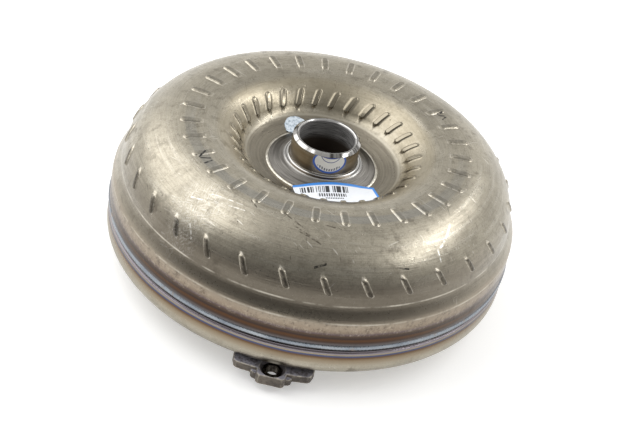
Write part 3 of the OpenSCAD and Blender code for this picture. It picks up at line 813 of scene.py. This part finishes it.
def inner_finish(slot):
    """A machined, drawn, cast or moulded surface: mottled grain, and turning marks where it was turned."""
    dark, light, rough, metallic, fineness, turning = INNER_FINISHES[slot]
    g = Surface(slot + "_finish")
    grain = g.noise(fineness, 4, 0.65)
    marks = g.turned(g.add(g.r, g.z), 1.9)
    shade = g.add(g.product(grain, 1 - turning), g.product(marks, turning))
    g.tone = g.mix(dark, light, g.span(shade, 0.32, 0.66))
    g.paint(tuple(0.7 * c for c in dark), g.span(g.noise(45), 0.55, 0.72), 0.45)
    g.bump(g.add(g.product(grain, 0.6), g.product(marks, turning)), 0.0003, 0.4)
    return g.finish(g.span(grain, 0.3, 0.7, rough - 0.05, rough + 0.07), metallic)


# Colours of the heat tint by height: bare steel, tan, brown oxide, then the bead and the cover's thin lines
BARE = (0.405, 0.370, 0.298)
HEAT_TINT = [
    (66.0, BARE), (61.0, (0.35, 0.300, 0.235)), (57.0, (0.30, 0.248, 0.190)), (54.0, (0.25, 0.200, 0.150)),
    (52.3, (0.19, 0.150, 0.120)), (51.5, (0.13, 0.098, 0.100)), (50.2, (0.085, 0.060, 0.045)),
    (48.0, (0.046, 0.033, 0.029)), (46.4, (0.090, 0.046, 0.024)), (44.5, (0.060, 0.040, 0.031)),
    (42.6, (0.11, 0.10, 0.10)),
]
COVER_TINT = [
    (38.0, (0.22, 0.21, 0.23)), (36.6, (0.17, 0.150, 0.165)), (34.6, (0.24, 0.215, 0.235)),
    (33.7, (0.30, 0.25, 0.15)), (32.9, (0.055, 0.075, 0.17)), (32.2, (0.085, 0.080, 0.11)),
    (31.2, (0.13, 0.075, 0.040)), (29.4, (0.24, 0.185, 0.120)), (26.0, (0.33, 0.285, 0.215)),
    (22.0, BARE), (14.0, BARE),
]


def tint_ramp(g, z, stops):
    """A colour ramp over height, from stops given from the top down."""
    high, low = stops[0][0], stops[-1][0]
    return g.ramp(g.span(z, high, low), [((high - at) / (high - low), colour) for at, colour in stops])


# Marks on the shell seen from above, as lines through places given by radius and direction in degrees
INK_LINES = [(1.1, [(128.9, 275.4), (127.0, 278.4)]), (0.7, [(128.2, 300.6), (129.0, 303.4)])]
RUB_MARKS = [
    [(105.5, 266.6), (111.0, 271.6)], [(108.5, 266.2), (113.5, 272.8)], [(112.0, 269.0), (117.0, 276.0)],
    [(103.0, 277.2), (105.0, 282.6)], [(101.5, 262.5), (104.0, 265.0)], [(101.5, 248.5), (105.0, 252.0)],
]
GOUGE = [(113.7, 324.2), (118.2, 320.6), (122.3, 317.3), (123.8, 314.8), (129.2, 314.7)]
SCUFFS = [
    [(112.5, 236.0), (108.0, 247.0)], [(115.5, 239.0), (111.0, 249.0)], [(121.5, 231.0), (119.0, 235.0)],
    [(131.0, 236.5), (134.5, 239.0)],
]
HATCHED_PLACE = (121.0, 236.0)


def spot(r, degrees):
    """A place seen from above, from a radius and a direction."""
    return polar(r, math.radians(degrees))


def laid_out(lines):
    """The lines with every place turned from radius and direction into x and y."""
    return [[spot(*place) for place in line] for line in lines]


def ink_stamp(r, degrees, size):
    """Three short hand-stamped dashes round a place, across the radius."""
    centre, out = Vector(spot(r, degrees)), Vector(spot(1, degrees))
    side = Vector((-out.y, out.x))
    dashes = []
    for along, lean in ((-size * 0.62, 0.25), (0.0, -0.15), (size * 0.62, 0.1)):
        middle = centre + side * along
        half = out * size * 0.42 + side * size * lean
        dashes.append([tuple(middle - half), tuple(middle + half)])
    return dashes


def pressed_steel(g, run, marks=1.0):
    """Bare drawn steel: cloudy tone, marks of the press round the axis, scratches, smudges and pits.

    Paints the tone, and returns the roughness and a height for the bump."""
    cloud = g.noise(22, 4, 0.6)
    fine = g.noise(620, 4, 0.65)
    drawn = g.turned(run, 1.5, 5.0)
    broad = g.turned(run, 0.26, 2.2)
    g.tone = g.mix(tuple(c * 0.80 for c in BARE), tuple(c * 1.12 for c in BARE), g.span(cloud, 0.3, 0.7))
    g.paint((0.165, 0.148, 0.115), g.span(g.noise(150, 5, 0.72), 0.47, 0.68), 0.42 * marks)
    g.paint((0.200, 0.182, 0.145), g.span(g.noise(900, 3, 0.7), 0.48, 0.66), 0.45 * marks)
    g.paint((0.20, 0.18, 0.145), g.span(drawn, 0.48, 0.70), 0.50)
    g.paint((0.54, 0.51, 0.44), g.span(broad, 0.52, 0.72), 0.34)
    smudge = g.product(g.span(g.noise(75, 5, 0.7), 0.55, 0.66), g.span(cloud, 0.42, 0.60))
    g.paint((0.095, 0.080, 0.060), smudge, 0.50 * marks)
    hair = g.most(g.product(g.scratches(34, 900, 0.70), g.span(g.noise(30, 2), 0.50, 0.60)),
                  g.product(g.scratches(-48, 780, 0.71), g.span(cloud, 0.5, 0.60)))
    g.paint((0.72, 0.69, 0.62), hair, 0.6 * marks)
    g.paint((0.085, 0.072, 0.055), g.scratches(71, 620, 0.72), g.span(cloud, 0.52, 0.46), 0.6 * marks)
    cells = g.node("TexVoronoi", {"Vector": g.position, "Scale": 210}, "Distance")
    pits = g.product(g.span(cells, 0.07, 0.12, 1.0, 0.0), g.span(g.noise(48, 2), 0.56, 0.62))
    g.paint((0.055, 0.045, 0.035), pits, 0.8 * marks)
    gloss = g.add(g.span(fine, 0.25, 0.75, 0.24, 0.42), g.product(smudge, 0.12),
                  g.span(broad, 0.3, 0.7, 0.04, -0.04))
    height = g.add(g.product(fine, 0.5), g.product(drawn, 0.8), g.product(pits, -1.2))
    return gloss, height


def shell_steel():
    """The shell's pressed steel, with heat tint at the weld, painted shade at the front and above the
    shoulder, painted highlights at the tabs' feet and the crease, tab wear, ink dashes and a white gouge.
    """
    g = Surface("shell_steel")
    gloss, height = pressed_steel(g, g.math("SUBTRACT", g.r, g.product(g.z, 0.35)))
    # heat tint with an uneven edge, made strongest at the front as painted shade
    ragged = g.span(g.noise(26), 0.3, 0.7, -1.3, 1.3)
    level = g.add(g.z, g.product(ragged, g.span(g.z, 44, 60)))
    tinted = tint_ramp(g, level, HEAT_TINT)
    bulge = g.band(g.z, 50.5, 61, 1)
    speckle = g.span(g.noise(330, 4, 0.75), 0.50, 0.66)
    tinted = g.mix(tinted, (0.41, 0.355, 0.28), g.product(speckle, bulge, 0.50))
    blots = g.span(g.noise(210, 4, 0.75), 0.52, 0.66)
    tinted = g.mix(tinted, (0.085, 0.065, 0.050), g.product(blots, bulge, 0.60))
    g.paint(tinted, g.span(level, 66, 60), g.span(g.y, 50, -130, 0.62, 1.0))
    # painted shade: a duller, greyer belt above the shoulder, darkest at the front
    g.paint((0.108, 0.092, 0.072), g.band(g.z, 60.5, 86, 6), g.span(g.y, -20, -120, 0.15, 0.85))
    # a darker, greyer ring on the crown, strongest at the front
    g.paint((0.235, 0.240, 0.236), g.band(g.r, 91.5, 99.0, 0.8), g.span(g.y, 20, -60), 0.42)
    # the crease and the shoulder are worn bright in places, a light line which also stands as their painted
    # highlight
    worn_and_highlit = g.most(g.band(g.z, 70.0, 71.0, 0.4), g.product(g.band(g.z, 59.2, 60.3, 0.4), 0.8))
    g.paint((0.58, 0.54, 0.46), worn_and_highlit, g.span(g.noise(60, 4), 0.36, 0.62), 0.7)
    # the bowl's floor is darker, with turned rings
    floor_rings = g.span(g.turned(g.r, 0.7, 1.2), 0.25, 0.75)
    bowl_floor = g.mix((0.120, 0.105, 0.080), (0.250, 0.225, 0.178), floor_rings)
    g.paint(bowl_floor, g.span(g.r, 56.5, 53.0), 0.85)
    g.paint((0.42, 0.39, 0.32), g.band(g.r, 53.2, 54.6, 0.5), 0.5)
    # the bowl's wall is a little brassy
    g.paint((0.30, 0.255, 0.170), g.band(g.r, 56.5, 76, 3), 0.40)
    # tabs: a light line round their feet, a painted highlight broken in places, and a dull top
    rise = g.node("Attribute", output="Fac", attribute_name="rise")
    chipped = g.noise(380, 4, 0.7)
    foot = g.product(g.band(rise, 0.08, 0.34, 0.05), g.span(chipped, 0.36, 0.56))
    in_wall = g.span(g.r, 84, 82)
    g.paint((0.62, 0.58, 0.50), foot, g.span(in_wall, 0, 1, 0.75, 0.12))
    g.paint((0.250, 0.222, 0.170), in_wall, g.span(rise, 0.05, 0.4), 0.65)
    top = g.span(rise, 0.62, 0.95)
    in_crown = g.band(g.r, 84, 104, 1)
    dull = g.product(g.span(in_crown, 0, 1, 0.92, 0.72), g.span(in_wall, 0, 1, 1.0, 0.1))
    core = g.mix((0.060, 0.052, 0.042), (0.145, 0.133, 0.108), in_crown)
    g.paint(core, top, dull, g.span(chipped, 0.36, 0.62, 1.0, 0.35))
    gloss = g.add(gloss, g.product(top, g.span(in_wall, 0, 1, 0.06, -0.15)))
    height = g.product(height, g.span(g.product(in_wall, rise), 0, 0.5, 1.0, 0.2))
    # ink, rub marks, gouge and chalky scuffs
    mark_edge = g.noise(260, 4, 0.7)
    ink = [g.strokes(ink_stamp(95.5, 218.7, 7.0) + ink_stamp(96.0, 37.5, 5.0), 1.3)]
    ink += [g.strokes(laid_out([line]), width) for width, line in INK_LINES]
    g.paint((0.018, 0.018, 0.020), g.most(*ink), g.span(mark_edge, 0.36, 0.50), 0.92)
    g.paint((0.070, 0.056, 0.042), g.strokes(laid_out(RUB_MARKS), 1.0), g.span(mark_edge, 0.42, 0.54), 0.75)
    scratched = g.most(g.strokes(laid_out([GOUGE]), 1.0), g.product(g.strokes(laid_out(SCUFFS), 0.8), 0.55))
    chalk = g.product(scratched, g.span(g.noise(330), 0.38, 0.55))
    hatch = g.most(g.scratches(12, 1500, 0.57), g.scratches(-78, 1500, 0.57))
    hatched = g.span(g.away((g.x, g.y), spot(*HATCHED_PLACE)), 24, 6, smooth=True)
    g.paint((0.86, 0.84, 0.79), g.most(chalk, g.product(hatch, hatched, 0.22)))
    g.bump(height, 0.00035, 0.35)
    return g.finish(gloss)


def cover_steel():
    """The front cover: the same steel, with the thin blue and straw lines of the weld's heat at its top."""
    g = Surface("cover_steel")
    gloss, height = pressed_steel(g, g.math("SUBTRACT", g.r, g.z), 0.8)
    ragged = g.span(g.noise(16, 2), 0.3, 0.7, -0.35, 0.35)
    tinted = tint_ramp(g, g.add(g.z, ragged), COVER_TINT)
    g.paint(tinted, g.span(g.z, 22, 27), g.span(g.y, 80, -120, 0.7, 1.0))
    # painted shade: the groove and the recess under the bead are painted dark
    g.paint((0.045, 0.038, 0.036), g.most(g.span(g.z, 37.0, 37.4), g.band(g.z, 35.7, 36.0, 0.15)), 0.9)
    g.bump(height, 0.0004, 0.4)
    return g.finish(gloss)


def bead_steel():
    """Weld metal: pale blue-grey with a little straw, dark along its upper edge, and painted shade on its
    underside.
    """
    g = Surface("bead_steel")
    fine = g.noise(700)
    g.tone = g.mix((0.19, 0.215, 0.25), (0.32, 0.345, 0.37), g.span(g.noise(60), 0.3, 0.7))
    # painted shade under the bead
    g.paint((0.030, 0.026, 0.026), g.span(g.z, 39.6, 39.0))
    g.paint((0.055, 0.046, 0.045), g.span(g.z, 41.6, 42.2))
    g.paint((0.26, 0.20, 0.15), g.span(g.noise(130), 0.58, 0.7), 0.6)
    g.bump(fine, 0.0003, 0.3)
    return g.finish(g.span(fine, 0.3, 0.7, 0.24, 0.38))


def hub_steel():
    """The pump hub: polished chamfer with painted reflections, bronze-tinted wall, dark turned flange and a
    dull bore.
    """
    g = Surface("hub_steel")
    rings = g.turned(g.r, 2.6, 2.0)
    lines = g.turned(g.z, 3.2, 2.0)
    on_flange = g.span(g.r, 26.6, 28.4)
    on_wall = g.product(g.band(g.z, 91.5, 105.2, 0.5), g.span(g.r, 22, 22.6))
    in_bore = g.span(g.r, 20.3, 19.9)
    # chamfer and rim: dark and light sectors round the axis on the chamfer are painted reflections
    sweep = g.turned(0.0, 0.0, 2.6)
    chamfer = g.product(g.span(g.z, 105.0, 105.4), g.span(g.r, 20.8, 21.2))
    g.tone = g.mix((0.50, 0.49, 0.475), (0.095, 0.090, 0.085), g.product(chamfer, g.span(sweep, 0.46, 0.58)))
    g.paint((0.055, 0.050, 0.046), g.band(g.r, 20.95, 21.35, 0.1), 0.85)
    # wall, with a dark line at its foot
    shade = g.span(g.turned(g.z, 0.26, 1.2, 1.0), 0.3, 0.7)
    wall = g.mix((0.30, 0.240, 0.165), (0.40, 0.345, 0.270), shade)
    g.paint(g.mix(wall, (0.105, 0.088, 0.070), g.span(g.z, 96.5, 92.5, 0.0, 0.7)), on_wall)
    g.paint((0.060, 0.052, 0.046), g.most(g.band(g.z, 90.4, 90.9, 0.15), g.band(g.r, 25.9, 26.5, 0.2)), 0.85)
    # flange
    flange = g.mix((0.070, 0.065, 0.058), (0.195, 0.185, 0.170), g.span(rings, 0.30, 0.70))
    broad_rings = g.span(g.turned(g.r, 0.33, 0.8, 1.0), 0.48, 0.60)
    g.paint(g.mix(flange, (0.045, 0.041, 0.037), g.product(broad_rings, 0.7)), on_flange)
    # bore
    bore = g.mix((0.095, 0.092, 0.090), (0.44, 0.43, 0.42), g.span(lines, 0.38, 0.62))
    g.paint(g.mix((0.060, 0.045, 0.034), bore, g.span(g.z, 92, 97)), in_bore)
    gloss = g.span(on_wall, 0, 1, 0.11, 0.34)
    gloss = g.span(on_flange, 0, 1, gloss, 0.30)
    gloss = g.span(in_bore, 0, 1, gloss, 0.50)
    gloss = g.add(gloss, g.span(g.noise(900), 0.3, 0.7, -0.02, 0.03))
    g.bump(g.add(g.product(rings, on_flange), g.product(lines, in_bore, 0.6)), 0.00012, 0.4)
    g.put(g.shader.inputs["Tangent"], g.node("Tangent", direction_type="RADIAL", axis="Z"))
    return g.finish(gloss, g.span(in_bore, 0, 1, 1.0, 0.45), Anisotropic=g.product(on_flange, 0.92))


def seam_steel():
    """The narrow weld at the flange's edge, wiped bright."""
    g = Surface("seam_steel")
    cloud = g.noise(160)
    g.tone = g.mix((0.42, 0.39, 0.33), (0.66, 0.63, 0.56), g.span(cloud, 0.35, 0.65))
    g.bump(g.noise(800), 0.0003, 0.4)
    return g.finish(g.span(cloud, 0.3, 0.7, 0.26, 0.4))


def forged_steel():
    """Forged lugs: purple-brown scale, greyer on top as painted light, with brighter worn edges."""
    g = Surface("forged_steel")
    cloud = g.noise(90, 4, 0.6)
    fine = g.noise(700, 4, 0.7)
    painted_light_on_top = g.span(g.parts(g.node("NewGeometry", output="Normal"))[2], 0.5, 0.85)
    worn = g.span(g.node("NewGeometry", output="Pointiness"), 0.505, 0.545)
    g.tone = g.mix((0.055, 0.044, 0.036), (0.150, 0.126, 0.100), g.span(cloud, 0.40, 0.60))
    # painted light: faces turned upwards are paler and bluer
    g.paint((0.38, 0.38, 0.46), painted_light_on_top, g.span(cloud, 0.3, 0.7, 0.6, 0.95))
    g.paint((0.070, 0.055, 0.048), g.span(g.noise(320, 4, 0.7), 0.50, 0.62), 0.65)
    g.paint((0.62, 0.57, 0.47), worn, g.span(g.noise(300), 0.35, 0.6), 0.9)
    g.bump(g.add(cloud, g.product(fine, 0.8)), 0.0010, 0.7)
    return g.finish(g.span(fine, 0.3, 0.7, 0.34, 0.52), 0.35)


def thread_steel():
    """Oiled threads, painted dark as the shade inside the hole, with lighter mottling as painted glints."""
    g = Surface("thread_steel")
    g.tone = g.mix((0.045, 0.038, 0.032), (0.22, 0.20, 0.17), g.span(g.noise(600), 0.45, 0.70))
    return g.finish(0.3)


def printed_paper():
    """The long label: blue edge, a row of bars and two rows of small meaningless marks."""
    g = Surface("printed_paper")
    u, v = g.label_uv()
    g.tone = g.mix((0.80, 0.84, 0.90), (0.90, 0.92, 0.96), g.noise(90))
    bar_place = g.math("FLOOR", g.product(u, 1 / 0.55))
    chance = g.node("TexWhiteNoise", {"W": bar_place}, "Value", noise_dimensions="1D")
    marks = [g.product(g.math("GREATER_THAN", chance, 0.45), g.band(u, -22.5, 13.5, 0.05),
                       g.band(v, 31.6, 36.4, 0.05))]
    for low, high, width, left, right in ((37.3, 40.1, 1.7, -11.0, 9.0), (41.0, 42.6, 1.2, -6.0, 7.0)):
        inked = g.math("LESS_THAN", g.math("FRACT", g.product(u, 1 / width)), 0.6)
        marks.append(g.product(inked, g.band(u, left, right, 0.05), g.band(v, low, high, 0.05)))
    g.paint((0.035, 0.035, 0.04), g.most(*marks))
    g.paint((0.045, 0.26, 0.75), g.most(g.span(v, 30.9, 30.5), g.span(u, 29.2, 29.6)))
    return g.finish(0.42, 0.0)


def oval_paper():
    """The oval sticker: blue rim and crescent on cream, with small meaningless marks above the lower rim."""
    g = Surface("oval_paper")
    u, v = g.label_uv()
    out = g.away((u, v), (0, 0), sticker_half)
    g.tone = g.mix((0.78, 0.76, 0.70), (0.88, 0.86, 0.80), g.noise(120, 2))
    ticks = g.math("LESS_THAN", g.math("FRACT", g.product(u, 1 / 1.7)), 0.6)
    g.paint((0.06, 0.06, 0.10), ticks, g.band(out, 0.56, 0.77, 0.02), g.span(v, -2.4, -3.0), 0.85)
    crescent = g.span(g.away((u, v), (0, 25.1)), 21.7, 21.5)
    g.paint((0.035, 0.065, 0.26), g.most(crescent, g.band(g.away((u, v), (0, 7.8)), 7.0, 7.5, 0.15)))
    g.paint((0.05, 0.13, 0.50), g.span(g.add(out, g.product(v, -0.008)), 0.86, 0.89))
    return g.finish(0.38, 0.0)


def dab_paint():
    """Pale blue-white inspection paint, thin and mottled."""
    g = Surface("dab_paint")
    mottle = g.noise(520, 4, 0.7)
    g.tone = g.mix((0.66, 0.73, 0.80), (0.22, 0.29, 0.36), g.span(mottle, 0.46, 0.64))
    g.bump(mottle, 0.0005, 0.6)
    return g.finish(0.5, 0.0)


def floor_paper():
    """White paper, clear from below so that the underside can be looked at."""
    g = Surface("floor_paper")
    g.tone = (0.88, 0.88, 0.88)
    below = g.node("NewGeometry", output="Backfacing")
    sides = (below, g.shader.outputs[0], g.node("BsdfTransparent"))
    g.put(g.output, g.node("MixShader", enumerate(sides)))
    return g.finish(0.7, 0.0, Emission_Color=(1, 1, 1), Emission_Strength=0.34)


# ---- camera, light and floor ----

FRONT_LEVEL, BACK_LEVEL = 0.24, 0.80
HORIZON_GLOW = 0.6


def camera():
    """A view from above the front lug, turned a little about its own axis."""
    place = Vector((15.2, -938.7, 719.7)) * MM
    aim = Vector((6.9, -25.2, 60.0)) * MM
    roll = math.radians(12.7)
    data = bpy.data.cameras.new("camera")
    data.lens = 91.4
    data.sensor_width = 36
    data.clip_end = 20
    piece = link("camera", data)
    look = (aim - place).to_track_quat("-Z", "Y").to_matrix() @ Matrix.Rotation(roll, 3, "Z")
    piece.matrix_world = Matrix.Translation(place) @ look.to_4x4()
    bpy.context.scene.camera = piece


def area_light(name, direction, metres, size, watts):
    """A rectangular light aimed at the middle of the object. direction is (azimuth, elevation) in degrees."""
    azimuth, elevation = (math.radians(x) for x in direction)
    data = bpy.data.lights.new(name, "AREA")
    data.shape = "RECTANGLE"
    data.size, data.size_y = size
    data.energy = watts
    piece = link(name, data)
    away = Vector((math.cos(elevation) * math.cos(azimuth), math.cos(elevation) * math.sin(azimuth),
                   math.sin(elevation)))
    piece.location = Vector((0, 0, 0.06)) + away * metres
    piece.rotation_euler = (-away).to_track_quat("-Z", "Y").to_euler()


def studio():
    """Soft light all round, dimmer in front and brighter low down behind, with a softbox on each side."""
    world = bpy.data.worlds.new("studio")
    world.use_nodes = True
    bpy.context.scene.world = world
    g = Nodes(world.node_tree)
    _, y, z = g.parts(g.node("TexCoord", output="Generated"))
    level = g.span(y, -0.95, 0.1, FRONT_LEVEL, BACK_LEVEL)
    low_behind = g.product(g.most(y, 0.0), g.math("MULTIPLY_ADD", z, -1.6, 1.0))
    background = g.tree.nodes["Background"].inputs
    g.put(background["Color"], (1.0, 0.995, 0.98))
    g.put(background["Strength"], g.math("MULTIPLY_ADD", low_behind, HORIZON_GLOW, level))
    area_light("right_softbox", (18, 46), 1.6, (1.9, 0.30), 9.5)
    area_light("left_softbox", (169, 44), 1.7, (2.2, 1.9), 25)


def floor():
    """A wide sheet of paper, just under the object."""
    size = 6000
    corners = [(-size, -size, 0), (size, -size, 0), (size, size, 0), (-size, size, 0)]
    piece = add_mesh("floor", corners, [(0, 1, 2, 3)])
    piece.location.z = -0.2 * MM
    piece.data.materials.append(floor_paper())


# ---- the scene ----

def show(piece, node, material, body="housing"):
    """Puts a piece on a body, in a CAD node's place where one is named."""
    piece.data.materials.clear()
    piece.data.materials.append(material)
    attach(piece, body)
    if node:
        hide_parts(node)


camera()
studio()
floor()
lug_angles = [first_lug + i * 2 * math.pi / lug_count for i in range(lug_count)]
finishes = {slot: inner_finish(slot) for slot in INNER_FINISHES}
show(impeller_shell(), "impeller_shell", shell_steel())
show(front_cover(), "front_cover", cover_steel())
show(rim_weld(), "rim_weld", bead_steel())
show(impeller_hub(), "impeller_hub", hub_steel())
show(hub_weld(), "hub_weld", seam_steel())
show(crank_pilot(), "crank_pilot", finishes["pilot_steel"])
show(repeated(forged_lug(), "forged_lugs", lug_angles), "mounting_lugs", forged_steel())
show(repeated(thread_sleeve(), "lug_threads", lug_angles), "mounting_lugs", thread_steel())
show(bowl_label(), "bowl_label", printed_paper())
show(hub_sticker(), None, oval_paper())
show(inspection_dot(), "inspection_dot", dab_paint())

for i in range(spring_count):
    spring, along, middle = damper_spring(f"damper_spring_{i + 1}", i * 2 * math.pi / spring_count)
    show(spring, "damper_springs", finishes["spring_steel"], "piston")
    tuple(along)
    tuple(middle)
    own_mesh(spring)

slots = {part["node"]: part["material_slot"] for part in frame["record"]["subparts"]}
for name, node in frame["nodes"].items():
    node.data.materials.clear()
    node.data.materials.append(finishes.get(slots[name], finishes["sheet_steel"]))

bpy.context.scene.view_settings.view_transform = "Standard"
